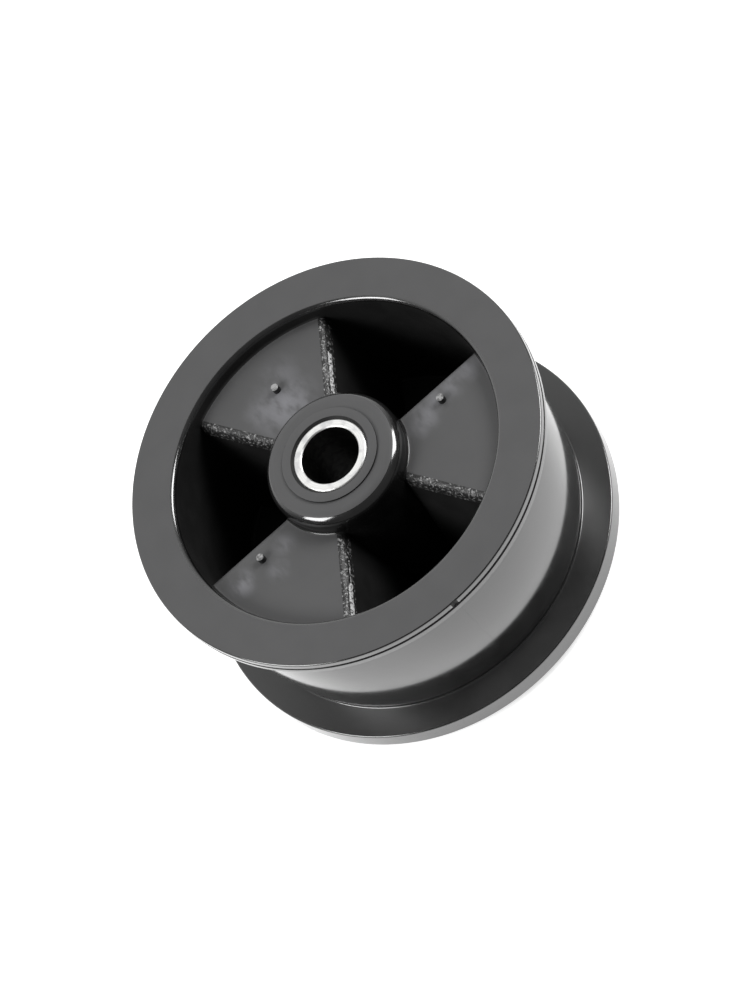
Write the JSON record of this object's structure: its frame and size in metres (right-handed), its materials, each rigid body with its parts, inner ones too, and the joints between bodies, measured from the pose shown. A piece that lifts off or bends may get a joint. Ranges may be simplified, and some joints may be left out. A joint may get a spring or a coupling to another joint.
{
  "type": "tensioner pulley",
  "caption": "Flanged belt tensioner pulley: a moulded wheel with a smooth crowned drum between its flanges, alternating webs and pockets around the hub, and a pressed-in metal sleeve bush.",
  "frame": {"origin": "on the shaft axis, at the rear thrust ring that the pulley stands on", "axes": "+Z along the shaft axis towards the front face, +Y through the middle of the front web that lies opposite the mould seam seen in the picture"},
  "size_m": [0.073, 0.073, 0.0374],
  "materials": {
    "wheel_plastic": "black moulded plastic, satin on the faces and glossier on the belt track and hub side",
    "bush_metal": "bright turned steel with fine scratches"
  },
  "bodies": {
    "root": {"pulley_wheel": "wheel_plastic", "bush": "bush_metal"}
  },
  "joints": []
}
